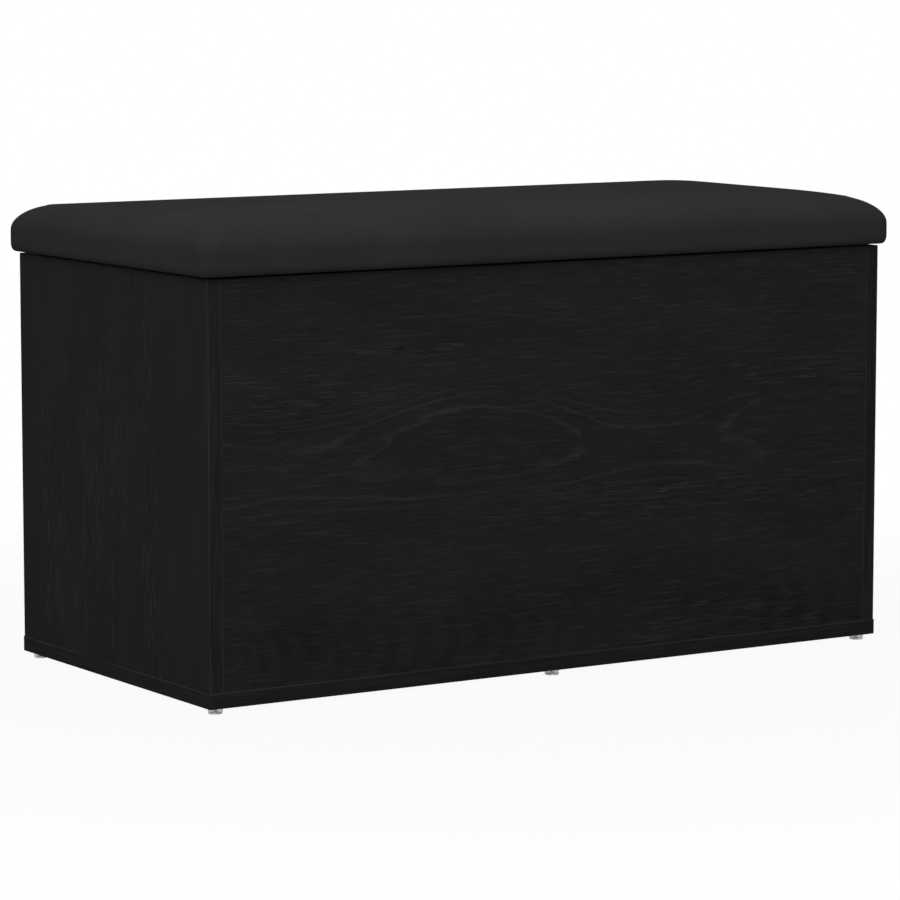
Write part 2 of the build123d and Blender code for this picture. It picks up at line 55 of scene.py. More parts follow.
Socket = bpy.types.NodeSocket
Triple = tuple[float, float, float]
Colour = Triple
CLOTH_MAP = "Flat cloth"
SIDES = ("left", "right")
ENDS = ("front", "back")


def rgba(colour: Colour) -> tuple[float, float, float, float]:
    """A colour with full cover."""
    return (*colour, 1.0)


def grey(level: float) -> Colour:
    """A neutral colour."""
    return (level, level, level)


class Wiring:
    """Adds nodes to one node tree and joins them."""

    def __init__(self, tree: bpy.types.NodeTree) -> None:
        """Keep the tree that the nodes go into."""
        self.tree = tree

    def node(self, kind: str, inputs: dict | None = None, **settings: object) -> bpy.types.Node:
        """Add one node.

        Args:
            kind: Name of the node type.
            inputs: Values or sockets for the node's inputs, by name or place.
            settings: Properties of the node.

        Returns:
            The new node.
        """
        made = self.tree.nodes.new(kind)
        for name, value in settings.items():
            setattr(made, name, value)
        for key, value in (inputs or {}).items():
            self.feed(made.inputs[key], value)
        return made

    def feed(self, socket: Socket, value: object) -> None:
        """Join a socket to another one, or set it to a plain value."""
        if isinstance(value, bpy.types.NodeSocket):
            self.tree.links.new(value, socket)
        else:
            socket.default_value = value

    def math(self, operation: str, *terms: object) -> Socket:
        """Work out one number from others."""
        return self.node("ShaderNodeMath", dict(enumerate(terms)), operation=operation).outputs[0]

    def vector_math(self, operation: str, *terms: object) -> Socket:
        """Work out one vector from others."""
        made = self.node("ShaderNodeVectorMath", dict(enumerate(terms)), operation=operation)
        return made.outputs[0]

    def stretched(self, vector: Socket, scale: Triple) -> Socket:
        """Scale a place along its three axes, as many repeats a metre."""
        return self.vector_math("MULTIPLY", vector, scale)

    def noise(self, vector: Socket, scale: object = 1.0, detail: float = 2.0) -> Socket:
        """Smooth noise between 0 and 1."""
        inputs = {"Vector": vector, "Scale": scale, "Detail": detail}
        return self.node("ShaderNodeTexNoise", inputs).outputs[0]

    def streaks(self, vector: Socket, along: float, across: float, detail: float) -> Socket:
        """Noise drawn out along x, with so many repeats a metre along it and across it."""
        return self.noise(self.stretched(vector, (along, across, across)), detail=detail)

    def remap(self, value: Socket, start: float, end: float,
              low: object = 0.0, high: object = 1.0) -> Socket:
        """Ease a number from one range into another, held at its ends."""
        inputs = dict(enumerate((value, start, end, low, high)))
        made = self.node("ShaderNodeMapRange", inputs, interpolation_type="SMOOTHSTEP")
        return made.outputs[0]

    def clamped(self, value: Socket) -> Socket:
        """Hold a number between 0 and 1."""
        return self.node("ShaderNodeClamp", {0: value}).outputs[0]

    def axes(self, vector: Socket) -> bpy.types.NodeOutputs:
        """The three parts of a vector."""
        return self.node("ShaderNodeSeparateXYZ", {0: vector}).outputs

    def blend(self, share: Socket, first: object, second: object) -> Socket:
        """Mix two colours."""
        return self.node("ShaderNodeMix", {0: share, 6: first, 7: second}, data_type="RGBA").outputs[2]

    def bump(self, height: Socket, depth: float, strength: float = 1.0) -> Socket:
        """Turn a height between 0 and 1 into a normal, with its depth in metres."""
        inputs = {"Height": height, "Distance": depth, "Strength": strength}
        return self.node("ShaderNodeBump", inputs).outputs[0]

    def place(self, location: Triple = (0, 0, 0), rotation: Triple = (0, 0, 0)) -> Socket:
        """The place on the piece in metres, moved and turned."""
        coordinate = self.node("ShaderNodeTexCoord").outputs["Object"]
        inputs = {"Vector": coordinate, "Location": location, "Rotation": rotation}
        return self.node("ShaderNodeMapping", inputs).outputs[0]

    def effect(self, group: bpy.types.NodeTree, inputs: dict) -> bpy.types.Node:
        """Place a shared effect with its own values."""
        made = self.node("ShaderNodeGroup", node_tree=group)
        for key, value in inputs.items():
            self.feed(made.inputs[key], value)
        return made


class Effect:
    """A shader node group that several finishes share, built once."""

    name: str = ""
    inputs: dict[str, float] = {}
    outputs: tuple[str, ...] = ()

    def group(self) -> bpy.types.NodeTree:
        """Find the group, or build it the first time.

        Returns:
            The node group, with a Vector input, the named inputs and the named outputs.
        """
        found = bpy.data.node_groups.get(self.name)
        if found:
            return found
        tree = bpy.data.node_groups.new(self.name, "ShaderNodeTree")
        tree.interface.new_socket("Vector", in_out="INPUT", socket_type="NodeSocketVector")
        for name, value in self.inputs.items():
            socket = tree.interface.new_socket(name, in_out="INPUT", socket_type="NodeSocketFloat")
            socket.default_value = value
        for name in self.outputs:
            tree.interface.new_socket(name, in_out="OUTPUT", socket_type="NodeSocketFloat")
        wiring = Wiring(tree)
        given = wiring.node("NodeGroupInput")
        ends = wiring.node("NodeGroupOutput")
        for name, value in self.wire(wiring, given.outputs).items():
            wiring.feed(ends.inputs[name], value)
        return tree

    def wire(self, wiring: Wiring, given: bpy.types.NodeOutputs) -> dict[str, Socket]:
        """Lay the group's nodes and say what feeds each output."""
        raise NotImplementedError


@dataclass(frozen=True)
class Figure:
    """Where a board's rings are centred, in its own axes, and how its tree lay under it.

    The middle of the tree lies under the board at depth. It sinks by swell and strays by arch once every
    wave, and dips by tilt. The first ring is as wide as spacing, and with a crowding over 1 the next ones
    are narrower. They wander, and show as lines within reach of the middle. Flecks and pores lie
    everywhere if even is 1, and in streaks if it is less.
    """

    along: float = 0.0
    across: float = 0.0
    depth: float = 0.08
    swell: float = 0.0094
    arch: float = 0.012
    wave: float = 0.43
    tilt: float = 0.0
    spacing: float = 0.0090
    crowding: float = 1.6
    wander: float = 0.010
    reach: float = 0.07
    even: float = 0.6

    def tree(self) -> dict[str, float]:
        """The values that shape the rings, by the names of the grain's inputs."""
        values = asdict(self)
        return {name.capitalize(): values[name] for name in values if name not in ("along", "across")}

    def grain(self, wiring: Wiring, turn: Triple) -> bpy.types.NodeOutputs:
        """Place the grain with this figure.

        Args:
            wiring: The material's nodes.
            turn: The turn from the bench's axes to the board's own.

        Returns:
            The outputs of the grain.
        """
        place = wiring.place((-self.along, -self.across, 0.0), turn)
        return wiring.effect(OakGrain().group(), {"Vector": place, **self.tree()}).outputs


class OakGrain(Effect):
    """Printed oak: growth rings, light flecks, dark pores and slow clouds.

    The vector runs along the grain in x and across it in y, from the middle of the figure.
    """

    name = "Oak grain"
    inputs = Figure().tree()
    outputs = ("Lines", "Bands", "Flecks", "Pores", "Clouds")

    # Repeats a metre along the grain and across it, and detail, of each noise
    drift_noise = (4.0, 12.0, 1.5)
    curl_noise = (17.0, 50.0, 3.0)
    ragged_noise = (45.0, 340.0, 2.0)
    patch_noise = (8.0, 60.0, 2.0)
    row_noise = (2.0, 17.0, 2.0)
    fleck_noise = (30.0, 560.0, 1.0)
    pore_noise = (54.0, 620.0, 1.0)
    cloud_noise = (7.0, 22.0, 3.0)
    raggedness = 0.34

    def rings(self, wiring: Wiring, given: bpy.types.NodeOutputs) -> tuple[Socket, Socket]:
        """Count the rings out from the tree's middle.

        Args:
            wiring: The group's nodes.
            given: The group's inputs.

        Returns:
            The distance across from the middle, and the number of rings with its fraction.
        """
        place = given["Vector"]
        along, beside, _ = wiring.axes(place)
        slow = wiring.math("SUBTRACT", wiring.streaks(place, *self.drift_noise), 0.5)
        drift = wiring.math("MULTIPLY", slow, given["Wander"])
        turn = wiring.math("MULTIPLY", wiring.math("DIVIDE", along, given["Wave"]), 2 * math.pi)
        dip = wiring.math("MULTIPLY_ADD", wiring.math("COSINE", turn), -0.5, 0.5)
        sunk = wiring.math("MULTIPLY_ADD", dip, given["Swell"], given["Depth"])
        below = wiring.math("MULTIPLY_ADD", along, given["Tilt"], sunk)
        bent = wiring.math("MULTIPLY_ADD", dip, given["Arch"], beside)
        across = wiring.math("MULTIPLY_ADD", drift, 2.0, bent)
        square = wiring.math("MULTIPLY_ADD", across, across, wiring.math("MULTIPLY", below, below))
        growth = wiring.math("SUBTRACT", wiring.math("SQRT", square), given["Depth"])
        curl = wiring.math("SUBTRACT", wiring.streaks(place, *self.curl_noise), 0.5)
        loose = wiring.math("MULTIPLY", given["Wander"], wiring.remap(growth, 0.003, 0.009, 1.1, 0.2))
        shaken = wiring.math("MULTIPLY_ADD", curl, loose, wiring.math("ADD", growth, drift))
        wide = wiring.math("DIVIDE", wiring.math("MAXIMUM", shaken, 0.0), given["Spacing"])
        crowded = wiring.math("POWER", wide, given["Crowding"])
        ragged = wiring.streaks(place, *self.ragged_noise)
        return across, wiring.math("MULTIPLY_ADD", ragged, self.raggedness, crowded)

    def wire(self, wiring: Wiring, given: bpy.types.NodeOutputs) -> dict[str, Socket]:
        """Rings give the lines and bands, and drawn-out noise the flecks, pores and clouds."""
        place = given["Vector"]
        across, count = self.rings(wiring, given)
        phase = wiring.math("FRACT", count)
        rising = wiring.remap(phase, 0.62, 0.80)
        falling = wiring.remap(phase, 0.82, 0.96, 1.0, 0.0)
        wave = wiring.math("COSINE", wiring.math("MULTIPLY", count, 2 * math.pi))
        patchy = wiring.remap(wiring.streaks(place, *self.patch_noise), 0.36, 0.60, 0.25, 1.0)
        far = wiring.math("DIVIDE", wiring.math("ABSOLUTE", across), given["Reach"])
        shown = wiring.math("MULTIPLY", patchy, wiring.remap(far, 0.6, 1.3, 1.0, 0.15))
        rows = wiring.remap(wiring.streaks(place, *self.row_noise), 0.50, 0.64)
        dense = wiring.math("MAXIMUM", rows, given["Even"])
        flecks = wiring.remap(wiring.streaks(place, *self.fleck_noise), 0.58, 0.655)
        pores = wiring.remap(wiring.streaks(place, *self.pore_noise), 0.59, 0.665)
        return {"Lines": wiring.math("MULTIPLY", wiring.math("MULTIPLY", rising, falling), shown),
                "Bands": wiring.math("MULTIPLY_ADD", wave, 0.5, 0.5),
                "Flecks": wiring.math("MULTIPLY", flecks, dense),
                "Pores": wiring.math("MULTIPLY", pores, dense),
                "Clouds": wiring.remap(wiring.streaks(place, *self.cloud_noise), 0.3, 0.7)}


class FineStreaks(Effect):
    """Fine lines along a strip or a drawn rod, where the vector is scaled so that each runs long."""

    name = "Fine streaks"
    inputs = {"Sharpness": 0.2}
    outputs = ("Streaks",)

    def wire(self, wiring: Wiring, given: bpy.types.NodeOutputs) -> dict[str, Socket]:
        """Two noises, one for the lines and one that breaks them up."""
        lines = wiring.noise(given["Vector"], 1.0, 2.0)
        breaks = wiring.noise(given["Vector"], 0.23, 1.0)
        mixed = wiring.math("MULTIPLY_ADD", wiring.math("SUBTRACT", breaks, 0.5), 0.5, lines)
        shifted = wiring.math("SUBTRACT", mixed, 0.5)
        centred = wiring.math("DIVIDE", shifted, given["Sharpness"])
        return {"Streaks": wiring.clamped(wiring.math("ADD", centred, 0.5))}


class UnevenSheen(Effect):
    """Slow changes of tone and gloss, as handling and moulding leave on metal and plastic."""

    name = "Uneven sheen"
    inputs = {"Scale": 60.0, "Dull": 0.6, "Bright": 0.35}
    outputs = ("Tone", "Roughness", "Specks")

    def wire(self, wiring: Wiring, given: bpy.types.NodeOutputs) -> dict[str, Socket]:
        """One slow noise for tone and gloss and one fine noise for specks."""
        slow = wiring.remap(wiring.noise(given["Vector"], given["Scale"], 3.0), 0.3, 0.7)
        fine = wiring.noise(given["Vector"], wiring.math("MULTIPLY", given["Scale"], 22.0), 1.0)
        change = wiring.math("SUBTRACT", given["Bright"], given["Dull"])
        roughness = wiring.math("MULTIPLY_ADD", slow, change, given["Dull"])
        return {"Tone": slow, "Roughness": roughness, "Specks": fine}


class PlainWeave(Effect):
    """Threads that pass over and under each other. The vector is the flat cloth in metres."""

    name = "Plain weave"
    inputs = {"Pitch": 0.0006, "Slub": 0.3}
    outputs = ("Height", "Threads")

    def wire(self, wiring: Wiring, given: bpy.types.NodeOutputs) -> dict[str, Socket]:
        """Round thread profiles, chosen by which thread is on top."""
        waves = []
        for axis in wiring.axes(given["Vector"])[:2]:
            turn = wiring.math("MULTIPLY", wiring.math("DIVIDE", axis, given["Pitch"]), math.pi)
            waves.append(wiring.math("SINE", turn))
        over = wiring.remap(wiring.math("MULTIPLY", *waves), -0.25, 0.25)
        warp, weft = (wiring.math("ABSOLUTE", wave) for wave in waves)
        height = wiring.math("MULTIPLY_ADD", wiring.math("SUBTRACT", warp, weft), over, weft)
        long_slubs = wiring.noise(wiring.stretched(given["Vector"], (40.0, 1400.0, 1.0)), detail=1.0)
        cross_slubs = wiring.noise(wiring.stretched(given["Vector"], (1400.0, 40.0, 1.0)), detail=1.0)
        slubs = wiring.math("SUBTRACT", wiring.math("ADD", long_slubs, cross_slubs), 1.0)
        threads = wiring.math("MULTIPLY_ADD", slubs, given["Slub"], 0.5)
        return {"Height": height, "Threads": threads}


@dataclass(frozen=True)
class Finish:
    """What every finish has: a name, two tones and the plain shader values."""

    name: str
    dark: Colour
    light: Colour
    specular: float = 0.5
    metallic: float = 0.0

    def material(self) -> bpy.types.Material:
        """Find the finish's material, or make it the first time.

        Returns:
            The material.
        """
        found = bpy.data.materials.get(self.name)
        if found:
            return found
        made = bpy.data.materials.new(self.name)
        made.use_nodes = True
        made.node_tree.nodes.clear()
        wiring = Wiring(made.node_tree)
        plain = {"Specular IOR Level": self.specular, "Metallic": self.metallic}
        shader = wiring.node("ShaderNodeBsdfPrincipled", plain)
        wiring.node("ShaderNodeOutputMaterial", {"Surface": shader.outputs[0]})
        for name, value in self.wire(wiring).items():
            wiring.feed(shader.inputs[name], value)
        return made

    def tones(self, wiring: Wiring, share: Socket) -> Socket:
        """A colour between the finish's two tones."""
        return wiring.blend(share, rgba(self.dark), rgba(self.light))

    def wire(self, wiring: Wiring) -> dict[str, object]:
        """Lay the nodes and say what feeds each input of the shader."""
        raise NotImplementedError


class Run(Enum):
    """How the grain lies on a board, as the turn from the bench's axes to the board's own."""

    FRONT = (-math.pi / 2, 0.0, 0.0)
    UPRIGHT = (0.0, math.pi / 2, 0.0)
    FLAT = (0.0, 0.0, 0.0)


@dataclass(frozen=True)
class BoardFinish(Finish):
    """Printed, lightly embossed oak, with a second figure along the lower edge if the board has one."""

    run: Run = Run.FLAT
    figure: Figure = Figure()
    lower: Figure | None = None
    lower_ends: tuple[float, float] = (0.060, 0.100)
    ground: float = 0.32
    line_weight: float = 0.36
    cloud_weight: float = 0.12
    fleck_weight: float = 0.46
    pore_weight: float = -0.26
    lower_weight: float = -0.15
    emboss: float = 0.00010

    def lower_patches(self, wiring: Wiring) -> tuple[Socket, Socket]:
        """Lay the second figure along the board's lower edge.

        Args:
            wiring: The material's nodes.

        Returns:
            Its dark patches, and its share of the tone, which is one at the edge and fades above it.
        """
        height = wiring.axes(wiring.place(rotation=self.run.value))[1]
        share = wiring.remap(height, *self.lower_ends, 1.0, 0.0)
        grain = self.lower.grain(wiring, self.run.value)
        uneven = wiring.remap(grain["Clouds"], 0.0, 1.0, 0.3, 1.0)
        patches = wiring.math("MULTIPLY", wiring.remap(grain["Bands"], 0.3, 0.8), uneven)
        return wiring.math("MULTIPLY", patches, share), share

    def wire(self, wiring: Wiring) -> dict[str, object]:
        """Lines and flecks lighten the tone, pores darken it, and all are pressed into the face."""
        grain = self.figure.grain(wiring, self.run.value)
        lines = grain["Lines"]
        parts = [(grain["Clouds"], self.cloud_weight), (grain["Flecks"], self.fleck_weight),
                 (grain["Pores"], self.pore_weight)]
        if self.lower:
            patches, share = self.lower_patches(wiring)
            parts.append((patches, self.lower_weight))
            lines = wiring.math("MULTIPLY", lines, wiring.math("SUBTRACT", 1.0, share))
        tone = wiring.math("MULTIPLY_ADD", lines, self.line_weight, self.ground)
        for part, weight in parts:
            tone = wiring.math("MULTIPLY_ADD", part, weight, tone)
        tone = wiring.clamped(tone)
        return {"Base Color": self.tones(wiring, tone),
                "Roughness": wiring.remap(tone, 0.0, 1.0, 0.62, 0.5),
                "Normal": wiring.bump(tone, self.emboss, 0.5)}


class Strip(Enum):
    """Which way a glued strip is narrow: the number of that axis."""

    NARROW_X = 0
    NARROW_Y = 1
    NARROW_Z = 2


@dataclass(frozen=True)
class BandFinish(Finish):
    """Edge strip with fine lines along its length, and painted highlights along chosen edges where an
    arris catches the light.
    """

    strip: Strip = Strip.NARROW_X
    # Distances across the strip from its middle where a painted highlight line runs along an arris.
    edges: tuple[float, ...] = ()
    edge_width: float = 0.0009
    edge_weight: float = 0.5
    fine: float = 620.0
    long: float = 16.0
    sharpness: float = 0.6
    streak_weight: float = 0.6
    relief: float = 0.00008

    def wire(self, wiring: Wiring) -> dict[str, object]:
        """The lines set the tone, the gloss and a slight relief, and the painted edge highlights lighten
        the tone.
        """
        place = wiring.place()
        scale = [self.fine if axis == self.strip.value else self.long for axis in range(3)]
        inputs = {"Vector": wiring.stretched(place, tuple(scale)), "Sharpness": self.sharpness}
        streaks = wiring.effect(FineStreaks().group(), inputs).outputs[0]
        tone = wiring.math("MULTIPLY", streaks, self.streak_weight)
        across = wiring.math("ABSOLUTE", wiring.axes(place)[self.strip.value])
        # Painted highlight: a pale line along each given edge, where an arris would catch the light.
        for edge in self.edges:
            away = wiring.math("ABSOLUTE", wiring.math("SUBTRACT", across, edge))
            painted_highlight = wiring.remap(away, 0.4 * self.edge_width, self.edge_width, 1.0, 0.0)
            tone = wiring.math("MULTIPLY_ADD", painted_highlight, self.edge_weight, tone)
        return {"Base Color": self.tones(wiring, wiring.clamped(tone)),
                "Roughness": wiring.remap(streaks, 0.0, 1.0, 0.6, 0.5),
                "Normal": wiring.bump(streaks, self.relief, 0.5)}


@dataclass(frozen=True)
class ClothFinish(Finish):
    """Woven or pressed cloth, drawn on the flat cloth's own map."""

    pitch: float = 0.0006
    slub: float = 0.5
    relief: float = 0.00012
    roughness: float = 0.85
    sheen: float = 0.0
    sheen_roughness: float = 0.45
    cloud: float = 7.0
    cloud_share: float = 0.35
    thread_share: float = 0.65

    def wire(self, wiring: Wiring) -> dict[str, object]:
        """Threads change the tone, slow clouds the lie of the pile, and painted shade darkens the hollows
        between the threads.
        """
        flat = wiring.node("ShaderNodeUVMap", uv_map=CLOTH_MAP).outputs[0]
        inputs = {"Vector": flat, "Pitch": self.pitch, "Slub": self.slub}
        weave = wiring.effect(PlainWeave().group(), inputs).outputs
        clouds = wiring.remap(wiring.noise(wiring.place(), self.cloud, 4.0), 0.25, 0.75)
        threads = wiring.math("MULTIPLY", weave["Threads"], self.thread_share)
        share = wiring.math("MULTIPLY_ADD", clouds, self.cloud_share, threads)
        # Painted shade: the colour darkens where the weave is low, between the threads, and lightens on
        # their tops.
        share_with_weave_shade = wiring.math("MULTIPLY", share, wiring.remap(weave["Height"], 0.0, 1.0, 0.8, 1.1))
        return {"Base Color": self.tones(wiring, share_with_weave_shade), "Roughness": self.roughness,
                "Sheen Weight": self.sheen, "Sheen Roughness": self.sheen_roughness,
                "Normal": wiring.bump(weave["Height"], self.relief, 0.5)}


@dataclass(frozen=True)
class WornFinish(Finish):
    """Metal, paint, plastic or rubber with an uneven sheen."""

    scale: float = 60.0
    dull: float = 0.6
    bright: float = 0.4
    relief: float = 0.00002
    coat: float = 0.0
    transmission: float = 0.0
    ior: float = 1.5

    def wire(self, wiring: Wiring) -> dict[str, object]:
        """Tone and gloss wander together, over a fine orange peel."""
        inputs = {"Vector": wiring.place(), "Scale": self.scale, "Dull": self.dull, "Bright": self.bright}
        sheen = wiring.effect(UnevenSheen().group(), inputs).outputs
        return {"Base Color": self.tones(wiring, sheen["Tone"]), "Roughness": sheen["Roughness"],
                "Coat Weight": self.coat, "Transmission Weight": self.transmission, "IOR": self.ior,
                "Normal": wiring.bump(sheen["Specks"], self.relief, 0.5)}


@dataclass(frozen=True)
class DrawnFinish(Finish):
    """Drawn or turned metal with fine lines."""

    lines: Triple = (900.0, 900.0, 40.0)
    dull: float = 0.35
    bright: float = 0.18
    sharpness: float = 0.7

    def wire(self, wiring: Wiring) -> dict[str, object]:
        """The lines set the tone and the gloss."""
        inputs = {"Vector": wiring.stretched(wiring.place(), self.lines), "Sharpness": self.sharpness}
        streaks = wiring.effect(FineStreaks().group(), inputs).outputs[0]
        return {"Base Color": self.tones(wiring, streaks),
                "Roughness": wiring.remap(streaks, 0.0, 1.0, self.dull, self.bright)}


@dataclass(frozen=True)
class ChipFinish(Finish):
    """Raw board of pressed wood chips, by the number of chips along a metre."""

    cells: float = 420.0
    relief: float = 0.0002

    def wire(self, wiring: Wiring) -> dict[str, object]:
        """Each cell has its own tone."""
        inputs = {"Vector": wiring.place(), "Scale": self.cells}
        cells = wiring.node("ShaderNodeTexVoronoi", inputs)
        tone = wiring.node("ShaderNodeSeparateColor", {0: cells.outputs["Color"]}).outputs[0]
        return {"Base Color": self.tones(wiring, tone),
                "Roughness": wiring.remap(tone, 0.0, 1.0, 0.95, 0.8),
                "Normal": wiring.bump(cells.outputs["Distance"], self.relief, 0.5)}


OAK = {"dark": grey(0.0090), "light": grey(0.0275), "specular": 0.004}
BAND = {"dark": grey(0.0095), "light": grey(0.0290), "specular": 0.004}

LOWER_FIGURE = Figure(-0.47, 0.048, swell=0.0, arch=0.0, tilt=0.19, spacing=0.0018, crowding=0.75,
                      wander=0.014)
FRONT_OAK = BoardFinish("Black oak front", **OAK, run=Run.FRONT, figure=Figure(-0.10, 0.233),
                        lower=LOWER_FIGURE)
BACK_OAK = BoardFinish("Black oak back", **OAK, run=Run.FRONT, figure=Figure(0.17, 0.16, wave=0.6))
LEFT_OAK = BoardFinish("Black oak left side", **OAK, run=Run.UPRIGHT,
                       figure=Figure(0.5, 0.3, wave=0.8, reach=0.03, even=0.06))
RIGHT_OAK = BoardFinish("Black oak right side", **OAK, run=Run.UPRIGHT,
                        figure=Figure(-0.1, -0.3, wave=0.8, reach=0.03, even=0.06))
BASE_OAK = BoardFinish("Black oak base", **OAK, run=Run.FLAT, figure=Figure(0.05, 0.04, wave=0.9))
# The given edges of these strips carry painted highlights along their arrises.
UPRIGHT_BAND = BandFinish("Black side strip", **BAND, strip=Strip.NARROW_X, edges=(0.3757, 0.3894))
TOP_BAND = BandFinish("Black top strip", **BAND, strip=Strip.NARROW_Y)
# A painted highlight runs along the base strip's top arris.
BASE_BAND = BandFinish("Black base strip", **BAND, strip=Strip.NARROW_Z, edges=(0.0204,))
SEAT_CLOTH = ClothFinish("Black seat cloth", grey(0.0196), (0.0322, 0.0322, 0.0329), specular=0.0,
                         sheen=0.008)
LINING_CLOTH = ClothFinish("Black lining cloth", grey(0.012), grey(0.03), specular=0.2, pitch=0.0016,
                           slub=0.9, relief=0.0002, cloud=14.0)
CHIPBOARD = ChipFinish("Raw chipboard", (0.33, 0.23, 0.13), (0.62, 0.48, 0.31), specular=0.2)
ZINC = WornFinish("Zinc plate", (0.42, 0.42, 0.40), (0.66, 0.66, 0.63), metallic=1.0, scale=240.0,
                  dull=0.42, bright=0.28)
CAST_ZINC = WornFinish("Cast zinc", (0.36, 0.36, 0.36), (0.55, 0.55, 0.54), metallic=1.0, scale=320.0,
                       dull=0.58, bright=0.42, relief=0.00006)
BLACK_PAINT = WornFinish("Black paint", grey(0.010), grey(0.021), specular=0.4, scale=110.0, dull=0.5,
                         bright=0.36, relief=0.00003)
TUBE_PAINT = WornFinish("Satin tube paint", grey(0.009), grey(0.016), specular=0.5, scale=80.0, dull=0.34,
                        bright=0.22, coat=0.3)
CHROME = DrawnFinish("Hard chrome", grey(0.62), grey(0.78), metallic=1.0, dull=0.16, bright=0.06)
BLACK_PLASTIC = WornFinish("Black moulded plastic", grey(0.012), grey(0.022), specular=0.4, scale=150.0,
                           dull=0.55, bright=0.4)
RUBBER = WornFinish("Soft rubber", grey(0.007), grey(0.012), specular=0.05, scale=260.0, dull=0.9,
                    bright=0.7, relief=0.00005)
GLIDE_PLASTIC = WornFinish("Milky glide plastic", (0.74, 0.75, 0.74), (0.86, 0.87, 0.86), scale=180.0,
                           dull=0.38, bright=0.26, transmission=0.7, ior=1.49)
BEECH = BoardFinish("Beech", (0.42, 0.27, 0.14), (0.62, 0.43, 0.25), specular=0.3,
                    figure=Figure(spacing=0.002))


def dress(finish: Finish, *names: str) -> None:
    """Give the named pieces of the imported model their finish.

    Args:
        finish: The finish that they share.
        names: The pieces, which keep their shape.
    """
    for name in names:
        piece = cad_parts[name]
        piece.data.materials.clear()
        piece.data.materials.append(finish.material())
        LOG.info("%s: %s", name, finish.name)


def new_piece(name: str, shape: bmesh.types.BMesh, finish: Finish) -> bpy.types.Object:
    """Make a smooth object at the origin from a finished shape.

    Args:
        name: The piece's name.
        shape: Its mesh, which is used up.
        finish: Its finish.

    Returns:
        The new object.
    """
    mesh = bpy.data.meshes.new(name)
    shape.to_mesh(mesh)
    shape.free()
    mesh.shade_smooth()
    mesh.materials.append(finish.material())
    piece = bpy.data.objects.new(name, mesh)
    bpy.context.scene.collection.objects.link(piece)
    return piece


class Chest:
    """The board box with its edge strips, corner joints and base screws."""

    def build(self) -> None:
        """Dress the boards, each with the grain along its own length."""
        dress(FRONT_OAK, "front_panel")
        dress(BACK_OAK, "back_panel")
        dress(LEFT_OAK, "left_side_panel")
        dress(RIGHT_OAK, "right_side_panel")
        dress(BASE_OAK, "base_panel")
        dress(UPRIGHT_BAND, *[f"{side}_side_edge_bands" for side in SIDES])
        dress(TOP_BAND, *[f"{end}_edge_band" for end in ENDS])
        dress(BASE_BAND, "base_edge_bands")
        dress(ZINC, "base_screws", "cam_bolts")
        dress(CAST_ZINC, "cam_housings")
        dress(BEECH, "wood_dowels")
        dress(RUBBER, "lid_bumpers")


class Glides:
    """The six plastic glides and their nails."""

    def build(self) -> None:
        """Dress the glides and the nails."""
        columns = ("left", "middle", "right")
        dress(GLIDE_PLASTIC, *[f"{end}_{column}_foot" for end in ENDS for column in columns])
        dress(ZINC, "foot_nails")


class Hardware:
    """The hinges and the gas stays."""

    def build(self) -> None:
        """Dress the hinges, the brackets and the stays."""
        leaves = [f"{side}_hinge_{half}_leaf" for side in SIDES for half in ("chest", "lid")]
        brackets = [f"{side}_stay_{half}_bracket" for side in SIDES for half in ("chest", "lid")]
        dress(BLACK_PAINT, *leaves, *brackets)
        pins = [f"{side}_hinge_pin" for side in SIDES]
        screws = ["chest_hinge_screws", "lid_hinge_screws", "chest_bracket_screws", "lid_bracket_screws"]
        dress(ZINC, *pins, *screws, "chest_stay_clips", "lid_stay_clips")
        for side in SIDES:
            dress(TUBE_PAINT, f"{side}_stay_tube")
            dress(CHROME, f"{side}_stay_rod")
            ends = ("tube_eye", "rod_eye", "gland", "piston")
            dress(BLACK_PLASTIC, *[f"{side}_stay_{end}" for end in ends])


@dataclass(frozen=True)
class Section:
    """One level outline of the seat pad: how far in its ends and sides lie, its corners, its height."""

    ends: float
    sides: float
    corner: float
    z: float


